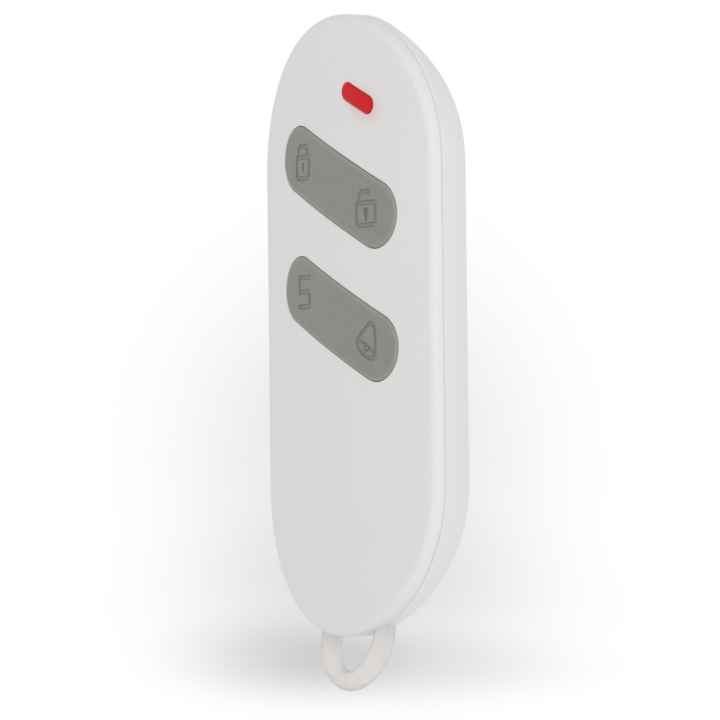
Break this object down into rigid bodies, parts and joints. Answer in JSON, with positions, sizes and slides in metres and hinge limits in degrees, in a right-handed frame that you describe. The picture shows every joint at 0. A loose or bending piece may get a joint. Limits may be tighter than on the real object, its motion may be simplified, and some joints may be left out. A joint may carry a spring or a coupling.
{
  "type": "alarm key fob",
  "caption": "Slim white remote control for an alarm, with slanted grey rocker keys, a red indicator window, a two-part shell and a loop for a key ring.",
  "frame": {"origin": "middle of the key loop's opening, in the plane of the loop's legs", "axes": "+Z along the body away from the key loop, -Y out of the face with the keys, +X to the right seen from the front"},
  "size_m": [0.0368, 0.0114, 0.0816],
  "materials": {
    "white_shell": "fine matte moulded texture",
    "grey_key": "soft matte",
    "red_lens": "polished, tinted through",
    "loop_nylon": "smooth, slightly translucent",
    "board_laminate": "solder resist",
    "cell_steel": "bright nickel plate",
    "spring_metal": "plated sheet",
    "dome_steel": "spring steel",
    "led_body": "moulded",
    "chip_black": "moulded",
    "ceramic": "fired",
    "ferrite": "wound",
    "screw_steel": "zinc plate"
  },
  "bodies": {
    "housing": {"front_cover": "white_shell", "rear_cover": "white_shell", "indicator_lens": "red_lens", "key_loop": "loop_nylon", "circuit_board": "board_laminate", "coin_cell": "cell_steel", "battery_clip": "spring_metal", "battery_contact": "spring_metal", "arm_dome": "dome_steel", "disarm_dome": "dome_steel", "part_arm_dome": "dome_steel", "panic_dome": "dome_steel", "indicator_led": "led_body", "controller_chip": "chip_black", "radio_chip": "chip_black", "crystal": "cell_steel", "chip_antenna": "ceramic", "tuning_coil": "ferrite", "capacitors": "ceramic", "resistors": "chip_black", "housing_screws": "screw_steel"},
    "upper_key": {"upper_rocker_key": "grey_key"},
    "lower_key": {"lower_rocker_key": "grey_key"}
  },
  "joints": [
    {"name": "upper_key_rock", "type": "hinge", "parent": "housing", "child": "upper_key", "pos_m": [0, -0.00005, 0.0562], "axis": [0.4226, 0, 0.9063], "range_deg": [-1.8, 1.8], "stiffness_Nm_per_rad": 0.3, "deforming": ["arm_dome", "disarm_dome"]},
    {"name": "lower_key_rock", "type": "hinge", "parent": "housing", "child": "lower_key", "pos_m": [0, -0.00005, 0.0403], "axis": [0.4226, 0, 0.9063], "range_deg": [-1.8, 1.8], "stiffness_Nm_per_rad": 0.3, "deforming": ["part_arm_dome", "panic_dome"]}
  ]
}
